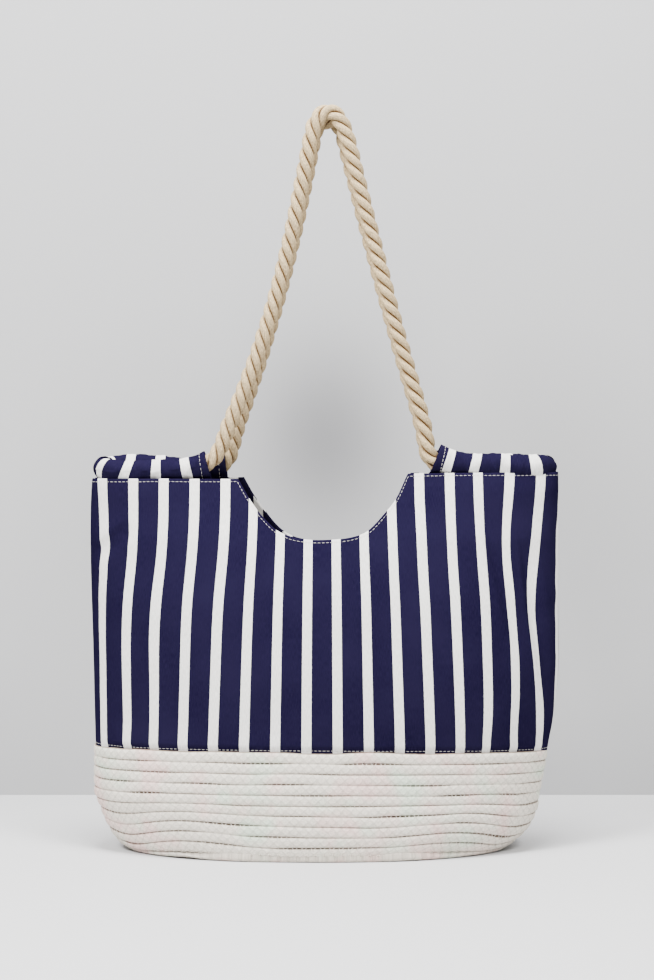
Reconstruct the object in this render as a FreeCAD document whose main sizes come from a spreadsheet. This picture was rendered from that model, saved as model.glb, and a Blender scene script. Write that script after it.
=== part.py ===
import FreeCAD, Part
import Sketcher
import math
import os

# A striped canvas beach bag on a coiled cord base, with two rope handles that leave rolled casings.
# Millimetres. +Z is up, +X runs along the width, and the front faces -Y. The origin is on the floor,
# under the middle of the bag.

V = FreeCAD.Vector

# Every cell of the sheet. A station is a level of the bag: its outline there is an ellipse, whose
# centre may stand a little to one side.
SIZES = {
    "canvas_thick": 2.0,
    "lining_thick": 1.0,
    "lining_gap": 0.4,
    "cord_thick": 9.4,
    "facing_width": 27.0,
    "neck_radius": 88.0,
    "front_neck_centre": -1.0,
    "front_neck_level": 401.0,
    "back_neck_centre": 3.0,
    "back_neck_level": 396.0,
    "rope_radius": 8.25,
    "casing_bore": 10.0,
    "casing_radius": 11.2,
    "casing_level": 385.0,
    "casing_spacing": 13.2,
    "casing_turn": 207.0,
    "front_left_mouth": 120.5,
    "front_right_mouth": 115.5,
    "back_left_mouth": 101.5,
    "back_right_mouth": 114.5,
    "rope_entry": 12.0,
    "rope_gap": 0.4,
    "band_radius": 9.4,
    "band_length": 60.0,
    "band_centre": 165.0,
}
STATIONS = {
    # name: level, half width, half depth, centre's x
    "foot": (0.0, 178.0, 74.0, -8.0),
    "toe": (10.0, 198.0, 80.0, -7.0),
    "ankle": (27.0, 213.5, 84.5, -6.0),
    "shin": (56.0, 225.5, 87.5, -5.0),
    "seam": (106.0, 228.5, 88.5, -3.0),
    "hip": (180.0, 230.5, 86.0, -1.0),
    "waist": (250.0, 232.5, 76.0, 0.0),
    "chest": (310.0, 233.5, 57.0, 0.0),
    "shoulder": (350.0, 233.0, 35.0, 0.0),
    "hem": (373.9, 231.4, 17.0, 0.0),
}
BASE_STATIONS = ("foot", "toe", "ankle", "shin", "seam")
CANVAS_STATIONS = ("seam", "hip", "waist", "chest", "shoulder", "hem")

# The routes that the two handles follow from the left casing, over the top, to the right one. The
# first and last point stand inside the casings, on the line that the handle turns about.
FRONT_ROUTE = [
    V(-130.0, -13.2, 385.0),
    V(-119.5, -13.2, 385.0),
    V(-111.5, -13.2, 390.0),
    V(-105.5, -13.1, 402.0),
    V(-99.0, -12.9, 421.0),
    V(-86.0, -12.5, 448.0),
    V(-68.0, -12.0, 491.0),
    V(-50.0, -11.4, 546.0),
    V(-33.5, -10.7, 611.0),
    V(-22.0, -9.6, 667.0),
    V(-14.8, -8.9, 707.0),
    V(-11.0, -8.6, 727.4),
    V(-2.4, -8.5, 735.0),
    V(8.9, -8.5, 735.3),
    V(18.0, -8.6, 728.4),
    V(22.9, -8.9, 708.5),
    V(32.5, -9.6, 669.0),
    V(47.5, -10.7, 611.0),
    V(64.0, -11.4, 546.0),
    V(80.5, -12.0, 488.0),
    V(93.0, -12.5, 446.0),
    V(100.0, -12.9, 420.0),
    V(102.0, -13.1, 402.0),
    V(106.5, -13.2, 390.0),
    V(114.0, -13.2, 385.0),
    V(124.0, -13.2, 385.0),
]
BACK_ROUTE = [
    V(-111.0, 13.2, 385.0),
    V(-100.5, 13.2, 385.0),
    V(-92.5, 13.2, 390.0),
    V(-88.5, 13.1, 402.0),
    V(-84.0, 12.9, 421.0),
    V(-76.5, 12.5, 447.0),
    V(-63.0, 12.0, 492.0),
    V(-48.5, 11.4, 545.0),
    V(-32.5, 10.7, 607.0),
    V(-20.5, 9.6, 662.0),
    V(-12.8, 8.9, 701.0),
    V(-9.6, 8.6, 720.5),
    V(-1.6, 8.5, 728.0),
    V(8.6, 8.5, 728.3),
    V(17.0, 8.6, 721.0),
    V(21.2, 8.9, 702.0),
    V(31.0, 9.6, 664.0),
    V(46.0, 10.7, 608.0),
    V(63.0, 11.4, 545.0),
    V(79.5, 12.0, 487.0),
    V(92.0, 12.5, 446.0),
    V(99.0, 12.9, 420.0),
    V(101.0, 13.1, 402.0),
    V(105.5, 13.2, 390.0),
    V(113.0, 13.2, 385.0),
    V(123.0, 13.2, 385.0),
]
ARC_SHARE = 0.45  # how much of the shorter run an arc may take

LARGE = 600.0  # longer than the bag in any direction, for the tools that cut it

doc = FreeCAD.newDocument("beach_bag")
sheet = doc.addObject("Spreadsheet::Sheet", "sizes")
for station, (level, half_width, half_depth, shift) in STATIONS.items():
    SIZES[f"{station}_level"] = level
    SIZES[f"{station}_half_width"] = half_width
    SIZES[f"{station}_half_depth"] = half_depth
    SIZES[f"{station}_shift"] = shift
for row, (alias, value) in enumerate(SIZES.items(), 1):
    sheet.set(f"A{row}", alias)
    sheet.set(f"B{row}", str(value))
    sheet.setAlias(f"B{row}", alias)
doc.recompute()

sub_parts = []


def sub_part(piece, label):
    """Names a finished piece, which is then checked and exported under that name."""
    piece.Label = label
    sub_parts.append(piece)
    return piece


def bind(thing, **expressions):
    """Binds properties to expressions of the sheet; two underscores stand for a dot."""
    for name, expression in expressions.items():
        thing.setExpression(name.replace("__", "."), expression)
    return thing


def joined(kind, name, base, tool):
    """A Part boolean of two shapes: Cut, Fuse or Common."""
    result = doc.addObject(f"Part::{kind}", name)
    result.Base = base
    result.Tool = tool
    return result


def ring(name, station, inset):
    """The bag's elliptical outline at a station, set in by an expression."""
    outline = doc.addObject("Part::Ellipse", f"{name}_{station}")
    return bind(
        outline,
        MajorRadius=f"sizes.{station}_half_width - ({inset})",
        MinorRadius=f"sizes.{station}_half_depth - ({inset})",
        Placement__Base__x=f"sizes.{station}_shift",
        Placement__Base__z=f"sizes.{station}_level",
    )


def loft(name, stations, inset):
    """A closed solid through the outlines of some stations."""
    solid = doc.addObject("Part::Loft", name)
    solid.Sections = [ring(name, station, inset) for station in stations]
    solid.Solid = True
    return solid


def shell(name, stations, outer_inset, inner_inset):
    """The wall between two lofts through the same stations."""
    outer = loft(f"{name}_outer", stations, outer_inset)
    inner = loft(f"{name}_inner", stations, inner_inset)
    return joined("Cut", name, outer, inner)


def half_space(name, front):
    """A block that holds everything in front of the side seams, or behind them."""
    block = doc.addObject("Part::Box", name)
    block.Length = block.Width = block.Height = LARGE
    block.Placement.Base = V(-LARGE / 2, -LARGE if front else 0.0, -LARGE / 6)
    return block


def neck_cylinder(name, face, extra):
    """A cylinder along Y that cuts the round neckline out of one face."""
    cutter = doc.addObject("Part::Cylinder", name)
    cutter.Height = LARGE
    cutter.Placement = FreeCAD.Placement(V(0, LARGE / 2, 0), FreeCAD.Rotation(V(1, 0, 0), 90))
    return bind(
        cutter,
        Radius=f"sizes.neck_radius + {extra}",
        Placement__Base__x=f"sizes.{face}_neck_centre",
        Placement__Base__z=f"sizes.{face}_neck_level",
    )


def make_canvas():
    """The two canvas panels, their neck facings and the lining behind them."""
    canvas = shell("canvas", CANVAS_STATIONS, "0", "sizes.canvas_thick")
    behind = "sizes.canvas_thick + sizes.lining_gap"
    inner = shell("inner_layer", CANVAS_STATIONS, behind, f"{behind} + sizes.lining_thick")
    for face in ("front", "back"):
        half = half_space(f"{face}_half", face == "front")
        neck = neck_cylinder(f"{face}_neck", face, "0")
        panel = joined("Common", f"{face}_canvas", canvas, half)
        sub_part(joined("Cut", f"{face}_panel", panel, neck), f"{face}_panel")
        layer = joined("Common", f"{face}_layer", inner, half)
        wide = neck_cylinder(f"{face}_facing_edge", face, "sizes.facing_width")
        collar = joined("Common", f"{face}_collar", layer, wide)
        sub_part(joined("Cut", f"{face}_facing", collar, neck), f"{face}_neck_facing")
        sub_part(joined("Cut", f"{face}_inner", layer, wide), f"{face}_lining")


def elliptical_pad(label, station, inset, level, thickness):
    """A flat elliptical sheet inside the outline of a station."""
    body = doc.addObject("PartDesign::Body", f"{label}_body")
    plane = next(o for o in body.Origin.OriginFeatures if o.Role == "XY_Plane")
    sketch = body.newObject("Sketcher::SketchObject", f"{label}_sketch")
    sketch.AttachmentSupport = [(plane, "")]
    sketch.MapMode = "FlatFace"
    major = sheet.get(f"{station}_half_width") - inset
    minor = sheet.get(f"{station}_half_depth") - inset
    sketch.addGeometry(Part.Ellipse(V(major, 0, 0), V(0, minor, 0), V(0, 0, 0)))
    pad = body.newObject("PartDesign::Pad", f"{label}_pad")
    pad.Profile = sketch
    bind(pad, Length=thickness)
    bind(body, Placement__Base__x=f"sizes.{station}_shift", Placement__Base__z=level)
    return sub_part(body, label)


def make_base():
    """The coiled cord base: its wall, its floor and the lining that covers the inside of both."""
    wall = shell("base_wall", BASE_STATIONS, "0", "sizes.cord_thick")
    sub_part(wall, "base_wall_coil")
    cord = sheet.get("cord_thick")
    gap = sheet.get("lining_gap")
    elliptical_pad("base_floor_coil", "foot", cord, "0", "sizes.cord_thick")
    level = "sizes.cord_thick + sizes.lining_gap"
    edge = cord + gap + sheet.get("lining_thick")
    elliptical_pad("base_lining_floor", "toe", edge, level, "sizes.lining_thick")
    behind = "sizes.cord_thick + sizes.lining_gap"
    cup = shell("base_cup", BASE_STATIONS[1:], behind, f"{behind} + sizes.lining_thick")
    sub_part(cup, "base_lining_wall")


def straight_tube(name, radius, side, face, mouth):
    """A cylinder along a casing, from its mouth to where it turns round the side of the bag."""
    run = doc.addObject("Part::Cylinder", name)
    run.Placement = FreeCAD.Placement(V(0, 0, 0), FreeCAD.Rotation(V(0, 1, 0), 90 * side))
    sign = "-" if face == "front" else ""
    edge = "-" if side < 0 else ""
    return bind(
        run,
        Radius=radius,
        Height=f"sizes.casing_turn - ({mouth})",
        Placement__Base__x=f"{edge}({mouth})",
        Placement__Base__y=f"{sign}sizes.casing_spacing",
        Placement__Base__z="sizes.casing_level",
    )


def bent_tube(name, radius, side, start, sweep):
    """A part of a torus that carries a casing, or the rope in it, round the side of the bag."""
    bend = doc.addObject("Part::Torus", name)
    bend.Angle1 = -180
    bend.Angle2 = 180
    bend.Angle3 = sweep
    bend.Placement = FreeCAD.Placement(V(0, 0, 0), FreeCAD.Rotation(V(0, 0, 1), start))
    edge = "-" if side < 0 else ""
    return bind(
        bend,
        Radius1="sizes.casing_spacing",
        Radius2=radius,
        Placement__Base__x=f"{edge}sizes.casing_turn",
        Placement__Base__z="sizes.casing_level",
    )


def make_casing(side, face):
    """One of the four rolled casings: it runs from its mouth to the side seam, round a quarter turn."""
    hand = "left" if side < 0 else "right"
    name = f"{face}_{hand}_casing"
    mouth = f"sizes.{face}_{hand}_mouth"
    start = {("left", "front"): 180, ("left", "back"): 90, ("right", "front"): 270, ("right", "back"): 0}
    solids = {}
    for layer, radius in (("skin", "sizes.casing_radius"), ("bore", "sizes.casing_bore")):
        run = straight_tube(f"{name}_{layer}_run", radius, side, face, mouth)
        bend = bent_tube(f"{name}_{layer}_bend", radius, side, start[hand, face], 90)
        solids[layer] = joined("Fuse", f"{name}_{layer}", run, bend)
    sub_part(joined("Cut", name, solids["skin"], solids["bore"]), name)


def make_casing_rope(side):
    """The rope inside the two casings of one side, which turns back on itself round the side."""
    hand = "left" if side < 0 else "right"
    name = f"{hand}_casing_rope"
    entry = "sizes.rope_entry + sizes.rope_gap"
    runs = [
        straight_tube(
            f"{name}_{face}", "sizes.rope_radius", side, face, f"sizes.{face}_{hand}_mouth + {entry}"
        )
        for face in ("front", "back")
    ]
    bend = bent_tube(f"{name}_bend", "sizes.rope_radius", side, 90 if side < 0 else 270, 180)
    rope = doc.addObject("Part::MultiFuse", name)
    rope.Shapes = [runs[0], bend, runs[1]]
    return sub_part(rope, name)


def make_splice_band():
    """The band that joins the two ends of the rope, hidden inside the back left casing."""
    body = doc.addObject("PartDesign::Body", "band_body")
    plane = next(o for o in body.Origin.OriginFeatures if o.Role == "YZ_Plane")
    sketch = body.newObject("Sketcher::SketchObject", "band_sketch")
    sketch.AttachmentSupport = [(plane, "")]
    sketch.MapMode = "FlatFace"
    for number, cell in enumerate(("band_radius", "rope_radius")):
        sketch.addGeometry(Part.Circle(V(0, 0, 0), V(0, 0, 1), sheet.get(cell)))
        sketch.addConstraint(Sketcher.Constraint("Coincident", number, 3, -1, 1))
        index = sketch.addConstraint(Sketcher.Constraint("Radius", number, sheet.get(cell)))
        sketch.setExpression(f"Constraints[{index}]", f"sizes.{cell}")
    pad = body.newObject("PartDesign::Pad", "band_pad")
    pad.Profile = sketch
    pad.Midplane = True
    bind(pad, Length="sizes.band_length")
    bind(
        body,
        Placement__Base__x="-sizes.band_centre",
        Placement__Base__y="sizes.casing_spacing",
        Placement__Base__z="sizes.casing_level",
    )
    sub_part(body, "rope_splice_band")


def rope_path(points):
    """A wire of straight runs joined by tangent arcs, and the radii of the arcs."""
    edges = []
    radii = []
    reached = points[0]
    for before, corner, after in zip(points, points[1:], points[2:]):
        back = before - corner
        ahead = after - corner
        reach = ARC_SHARE * min(back.Length, ahead.Length)
        back.normalize()
        ahead.normalize()
        half_turn = (math.pi - back.getAngle(ahead)) / 2
        radius = reach / math.tan(half_turn)
        inward = (back + ahead).normalize()
        start = corner + back * reach
        middle = corner + inward * (radius / math.cos(half_turn) - radius)
        end = corner + ahead * reach
        edges.append(Part.LineSegment(reached, start).toShape())
        edges.append(Part.Arc(start, middle, end).toShape())
        radii.append(radius)
        reached = end
    edges.append(Part.LineSegment(reached, points[-1]).toShape())
    return Part.Wire(edges), radii


def make_handle(label, points):
    """A rope handle: a round section swept along its route."""
    path, radii = rope_path(points)
    radius = sheet.get("rope_radius")
    section = Part.Wire(Part.makeCircle(radius, points[0], points[1] - points[0]))
    tube = path.makePipeShell([section], True, False)
    handle = doc.addObject("Part::Feature", label)
    handle.Shape = tube
    handle.Placement = FreeCAD.Placement()
    expected = math.pi * radius**2 * path.Length
    print(f"{label}: length {path.Length:.1f}, arc radii {[round(r, 1) for r in radii]}")
    print(f"{label}: volume over section times length {tube.Volume / expected:.4f}")
    return sub_part(handle, label)


def check():
    """Stops if any object failed, or any sub-part is not a valid solid."""
    for thing in doc.Objects:
        if "Invalid" in thing.State or "Error" in thing.State:
            raise RuntimeError(f"{thing.Name} failed: {thing.State}")
    for piece in sub_parts:
        if piece.Shape.isNull() or not piece.Shape.isValid() or not piece.Shape.Solids:
            raise RuntimeError(f"{piece.Label} is not a valid solid")


def export():
    """Writes each sub-part to its own file."""
    os.makedirs("parts", exist_ok=True)
    for piece in sub_parts:
        piece.Shape.exportStep(f"parts/{piece.Label}.step")
        print(f"{piece.Label}: {len(piece.Shape.Solids)} solid, {piece.Shape.Volume / 1000:.1f} cm3")


make_canvas()
make_base()
for hand_side in (-1, 1):
    make_casing(hand_side, "front")
    make_casing(hand_side, "back")
    make_casing_rope(hand_side)
make_splice_band()
make_handle("front_handle_rope", FRONT_ROUTE)
make_handle("back_handle_rope", BACK_ROUTE)
doc.recompute()
check()
export()
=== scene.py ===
import math

import bpy
import numpy as np
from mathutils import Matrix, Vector


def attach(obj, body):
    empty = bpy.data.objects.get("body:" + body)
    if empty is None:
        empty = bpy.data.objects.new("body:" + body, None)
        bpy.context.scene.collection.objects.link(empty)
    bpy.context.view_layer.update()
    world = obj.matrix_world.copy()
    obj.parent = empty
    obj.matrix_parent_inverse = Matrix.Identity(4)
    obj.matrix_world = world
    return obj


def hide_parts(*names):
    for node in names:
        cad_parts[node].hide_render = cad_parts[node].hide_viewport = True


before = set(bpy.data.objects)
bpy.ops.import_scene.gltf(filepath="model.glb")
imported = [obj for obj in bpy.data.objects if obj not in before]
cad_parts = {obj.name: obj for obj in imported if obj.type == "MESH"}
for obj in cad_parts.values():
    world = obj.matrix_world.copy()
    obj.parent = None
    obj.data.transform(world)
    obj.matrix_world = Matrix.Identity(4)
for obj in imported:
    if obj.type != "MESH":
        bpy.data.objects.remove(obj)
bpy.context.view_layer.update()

# A striped canvas beach bag on a coiled cord base, with two laid rope handles.
# Lengths are in millimetres unless a name says otherwise, and become metres when a mesh is made.
# +Z is up and the front faces -Y.
MM = 0.001

# Canvas stripes, measured along the cloth from a line near the middle of a face.
STRIPE_PITCH = 30.45
STRIPE_WIDTH = 9.6
STRIPE_START = 10.55
CLOTH_MIDDLE = -2.6  # the x of that line
BACK_STRIPE_SHIFT = 7.0

# Outline of the canvas: level, left edge, right edge, half depth, squareness (2 is an ellipse).
CANVAS_OUTLINE = [
    (90, -228.4, 222, 87, 2), (110, -229.8, 225, 87.8, 2), (125, -230.4, 228.4, 87.8, 2),
    (150, -231, 232, 87.3, 2), (180, -231.6, 234.4, 85.8, 2), (215, -232.4, 234.4, 81.5, 2),
    (250, -233.4, 233.8, 76, 2), (310, -234.5, 233.8, 57.5, 2.1), (350, -233.8, 233.9, 37, 2.8),
    (380, -231.8, 233, 23, 5),
]
# Level of the canvas foot, behind the cord base. Lines of x and level for the top edge and the necklines.
CANVAS_FOOT = 92.0
TOP_EDGE = [(-235, 371.2), (-85, 372), (85, 376.6), (235, 377.8)]
FRONT_NECK = [
    (-86.5, 371.8), (-75, 353.5), (-65, 340), (-49, 323.8), (-36, 317), (-22, 313.6),
    (3, 312.8), (26, 315.2), (42, 321), (59, 338), (70.5, 352.5), (82, 376.4),
]
BACK_NECK = [
    (-82, 371.6), (-71, 353), (-61, 338.5), (-45, 319), (-32, 310.5), (-18, 306.6),
    (7, 305.8), (30, 308.4), (46, 315), (62, 331.5), (74, 348), (86, 376.4),
]
TUCK = 2.6  # how far the canvas goes in behind the cord at the seam
CANVAS_THICKNESS = 0.7
LINING_THICKNESS = 0.6
FACING_THICKNESS = 0.5
LINING_INSET = 2.9
FACING_INSET = 4.5
# How much more cloth than outline there is between the middle of a face and 92 mm to its side.
SPARE_CLOTH = [(106, 0), (180, 3), (250, 6), (315, 10.7), (400, 10.7)]
SPARE_REACH = 92.0
# Where the front's cloth is pushed sideways: x, level, reach both ways and how far.
PUSHED_CLOTH = [
    (207.5, 245, 10, 68, 7.4), (183, 312, 11, 58, 4.2), (153, 375, 14, 45, 2.6),
    (97, 315, 40, 40, -1.8), (162, 108, 13, 34, 3.6), (190, 120, 12, 30, 3.2),
    (222, 130, 12, 40, -1.8), (-170, 195, 80, 125, 2.5), (-232, 225, 20, 130, 6),
    (-200, 215, 14, 70, 2.8), (-172, 225, 14, 60, 2.6),
]

# The cord base, as rings through the middle of the cord: level, left edge, right edge, half depth.
BASE_RINGS = [
    (4.3, -114, 98, 0.6), (4.3, -184, 168, 76), (7, -199, 182, 79.3),
    (13, -206, 190.5, 81), (22, -212.3, 200.2, 82.3), (34, -218.2, 207, 83.2),
    (45, -222.2, 210.8, 83.6), (56, -226.8, 211.8, 83.7), (67, -227.6, 214, 84),
    (88, -227.6, 218, 84.2), (103.2, -227.6, 220.4, 84.2),
]
COIL_TURNS = 17.5
WALL_TURNS = 10.5
COIL_PITCH = 10.4  # between the turns of the wall
CORD_WIDTH = 10.5
CORD_DEPTH = 8.6
CORD_OVERLAP = 0.3  # how far each turn goes past the middle of its groove
FRONT_LIFT = 4.8  # how much higher the wall is in the middle of the front
# Where the low rows hump up or dip: angle from the middle of the front, reach, and rows of shift.
ROW_HUMPS = [(-0.66, 0.26, 0.45), (-1.14, 0.22, -0.45), (0.66, 0.28, 0.45), (1.16, 0.20, -0.35)]
COIL_START = -math.pi - 0.03  # where the cord ends at the top: in the middle of the back

# Rope: three strands, laid so that they fall to the right on the side that one looks at.
ROPE_LAY = (40.0, 48.0)  # from the left end to the right one
STRAND_OFFSET = 4.48
STRAND_RADIUS = 3.86
YARN_LAY = 31.0
ROPE_STEP = 1.1  # between the rings of its mesh

# The routes of the two handles, in metres: control points of a smooth spline from the left casing,
# over the top, into the right one.
FRONT_ROUTE = [
    (-0.126, -0.0132, 0.385), (-0.1195, -0.0132, 0.385), (-0.1115, -0.0132, 0.39),
    (-0.1035, -0.0131, 0.402), (-0.097, -0.0129, 0.421), (-0.085, -0.0125, 0.448),
    (-0.068, -0.012, 0.491), (-0.05, -0.0114, 0.546), (-0.0335, -0.0107, 0.611),
    (-0.022, -0.0096, 0.667), (-0.0145, -0.0089, 0.706), (-0.0096, -0.0086, 0.7262),
    (-0.001, -0.0085, 0.7356), (0.0078, -0.0085, 0.7358), (0.016, -0.0086, 0.7274),
    (0.0229, -0.0089, 0.7085), (0.0325, -0.0096, 0.669), (0.0475, -0.0107, 0.611),
    (0.064, -0.0114, 0.546), (0.0805, -0.012, 0.488), (0.093, -0.0125, 0.446),
    (0.1, -0.0129, 0.42), (0.102, -0.0131, 0.402), (0.1065, -0.0132, 0.39),
    (0.114, -0.0132, 0.385), (0.122, -0.0132, 0.385),
]
BACK_ROUTE = [
    (-0.11, 0.0132, 0.3832), (-0.104, 0.0132, 0.3838), (-0.0975, 0.0132, 0.3885),
    (-0.093, 0.0131, 0.402), (-0.0885, 0.0129, 0.421), (-0.0795, 0.0125, 0.447),
    (-0.0645, 0.012, 0.492), (-0.0485, 0.0114, 0.545), (-0.0325, 0.0107, 0.607),
    (-0.0205, 0.0096, 0.662), (-0.0128, 0.0089, 0.701), (-0.0096, 0.0086, 0.7205),
    (-0.0016, 0.0085, 0.728), (0.0086, 0.0085, 0.7283), (0.017, 0.0086, 0.721),
    (0.0212, 0.0089, 0.702), (0.031, 0.0096, 0.664), (0.046, 0.0107, 0.608),
    (0.063, 0.0114, 0.545), (0.0795, 0.012, 0.487), (0.092, 0.0125, 0.446),
    (0.099, 0.0129, 0.42), (0.101, 0.0131, 0.402), (0.1055, 0.0132, 0.39),
    (0.113, 0.0132, 0.385), (0.121, 0.0132, 0.385),
]

# Casings: distance of the mouth from the middle, how far its top leans outward, where a stripe starts,
# how far the cloth is pulled near the mouth, how much cloth goes round the bend at the side, a seed for
# the creases, and lines along the casing from its mouth for the slant of the stripes, the level of the
# axis and the radius.
CASING_TURN = 207.0
CASING_SPACING = 13.2
CASING_SKIN = 1.5
CASING_STRIPE_PITCH = 29.8
CASING_LEAST_RADIUS = 8.9
CASINGS = {
    ("front", "left"): {
        "mouth": 116, "lean": 3.4, "stripe": 142.4, "pull": 0, "outer": 11.2, "seed": 3,
        "slant": [(0, -1.8), (20, -1.8), (50, 0), (80, 4), (130, 4)],
        "level": [(0, 386), (18, 382.4), (40, 380.6), (70, 379.8), (95, 380.4), (120, 382.4)],
        "radius": [(0, 13.7), (8, 12.2), (20, 11.2), (60, 10.8), (130, 10.9)],
    },
    ("back", "left"): {
        "mouth": 99, "lean": 1.6, "stripe": 169.8, "pull": 12, "outer": 11.2, "seed": 7,
        "slant": [(0, 0), (130, 1)],
        "level": [(0, 385), (20, 381.8), (45, 381), (62, 383.2), (95, 384.2), (120, 382.4)],
        "radius": [(0, 12.8), (10, 11.4), (24, 10.9), (60, 11), (130, 10.9)],
    },
    ("front", "right"): {
        "mouth": 110, "lean": 5.7, "stripe": 144.6, "pull": -4.7, "outer": 4, "seed": 11,
        "slant": [(0, -2), (35, -2.8), (65, -1.2), (95, 1.5), (130, 1.5)],
        "level": [(0, 392), (20, 387.5), (60, 385.6), (130, 383.4)],
        "radius": [(0, 14.7), (8, 13.2), (20, 11.9), (60, 11.4), (130, 11.2)],
    },
    ("back", "right"): {
        "mouth": 109, "lean": 3, "stripe": 150, "pull": 6, "outer": 4, "seed": 13,
        "slant": [(0, 0), (130, 1)],
        "level": [(0, 386.5), (20, 384.8), (60, 384.5), (130, 383.4)],
        "radius": [(0, 13), (10, 12.2), (20, 11.4), (60, 11.1), (130, 11.2)],
    },
}

# The camera stands straight in front, above the neckline, and looks slightly down. In metres.
CAMERA_PLACE = (0.0023, -2.5, 0.464)
CAMERA_LENS = 91.84
CAMERA_TILT = math.radians(2.382)
WALL_DISTANCE = 0.322


# ------------------------------ curves, noise and meshes

def through(points, places):
    """A smooth line through (place, value) points, read at some places."""
    known, values = np.array(points, float).T
    slopes = np.gradient(values, known)
    places = np.clip(places, known[0], known[-1])
    first = np.clip(np.searchsorted(known, places) - 1, 0, len(known) - 2)
    run = known[first + 1] - known[first]
    t = (places - known[first]) / run
    start = (2 * t**3 - 3 * t**2 + 1) * values[first] + (t**3 - 2 * t**2 + t) * run * slopes[first]
    end = (3 * t**2 - 2 * t**3) * values[first + 1] + (t**3 - t**2) * run * slopes[first + 1]
    return start + end


def waves(across, up, width, height, seed):
    """Smooth noise from -1 to 1, in bumps of about that width and height."""
    lattice = np.random.RandomState(seed).uniform(-1, 1, (97, 97))
    x, y = across / width, up / height
    i, j = np.floor(x).astype(int), np.floor(y).astype(int)
    s, t = x - i, y - j
    s, t = s * s * s * (6 * s * s - 15 * s + 10), t * t * t * (6 * t * t - 15 * t + 10)
    i, j, k, m = i % 97, j % 97, (i + 1) % 97, (j + 1) % 97
    low = lattice[i, j] * (1 - s) + lattice[k, j] * s
    high = lattice[i, m] * (1 - s) + lattice[k, m] * s
    return low * (1 - t) + high * t


def ease(value, low, high):
    """0 below low, 1 above high, and smooth between."""
    t = np.clip((value - low) / (high - low), 0, 1)
    return t * t * (3 - 2 * t)


def unit(vectors):
    return vectors / np.maximum(np.linalg.norm(vectors, axis=-1, keepdims=True), 1e-9)


def circle(sides):
    """Even angles once around."""
    return np.arange(sides) * 2 * math.pi / sides


def grid_normals(points):
    """Unit normals of a grid of points: across times up."""
    return unit(np.cross(np.gradient(points, axis=1), np.gradient(points, axis=0)))


def travelled(path):
    """The distance along a path at each of its points."""
    steps = np.linalg.norm(np.diff(path, axis=0), axis=1)
    return np.concatenate([[0], np.cumsum(steps)])


def at_distances(path, distances, *more):
    """Points of a path at some distances along it, and other values that go with its points."""
    known = travelled(path)
    read = [
        np.stack([np.interp(distances, known, column) for column in values.T], -1)
        for values in (path, *more)
    ]
    return read if more else read[0]


def grid_faces(rows, columns, around=False):
    """The quads of a grid of points, whose columns may close on themselves."""
    row, column = np.meshgrid(
        np.arange(rows - 1), np.arange(columns if around else columns - 1), indexing="ij"
    )
    following = (column + 1) % columns
    corners = [
        row * columns + column,
        row * columns + following,
        (row + 1) * columns + following,
        (row + 1) * columns + column,
    ]
    return np.stack(corners, -1).reshape(-1, 4)


def make_piece(name, points, faces, material, body="bag", stands_for=(), uv=None, shade=None):
    """A smooth mesh object that rides on a body and takes the place of some CAD nodes."""
    points = np.asarray(points, float).reshape(-1, 3) * MM
    mesh = bpy.data.meshes.new(name)
    mesh.from_pydata(points.tolist(), [], faces.tolist())
    mesh.polygons.foreach_set("use_smooth", np.ones(len(mesh.polygons), bool))
    mesh.materials.append(material)
    if uv is not None:
        layer = mesh.uv_layers.new(name="cloth")
        corner = np.zeros(len(mesh.loops), int)
        mesh.loops.foreach_get("vertex_index", corner)
        layer.data.foreach_set("uv", (np.asarray(uv, float).reshape(-1, 2) * MM)[corner].ravel())
    if shade is not None:
        mesh.attributes.new("shade", "FLOAT", "POINT").data.foreach_set("value", np.ravel(shade))
    piece = bpy.data.objects.new(name, mesh)
    bpy.context.scene.collection.objects.link(piece)
    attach(piece, body)
    if stands_for:
        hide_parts(*stands_for)
    return piece


def thicken(piece, thickness):
    """Gives a cloth its thickness, inward from the side that one sees."""
    solid = piece.modifiers.new("thickness", "SOLIDIFY")
    solid.thickness = thickness * MM
    solid.offset = -1.0


def tube(path, outward, sides, radii):
    """Rings of points around a path. The first direction of each ring is outward."""
    along = unit(np.gradient(path, axis=-2))
    outward = unit(outward - along * np.sum(outward * along, -1, keepdims=True))
    aside = np.cross(along, outward)
    angle = circle(sides)
    radii = np.asarray(radii)[..., None, None]
    ring = outward[..., None, :] * np.cos(angle)[:, None] + aside[..., None, :] * np.sin(angle)[:, None]
    return path[..., None, :] + radii * ring


# ------------------------------ materials

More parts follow.
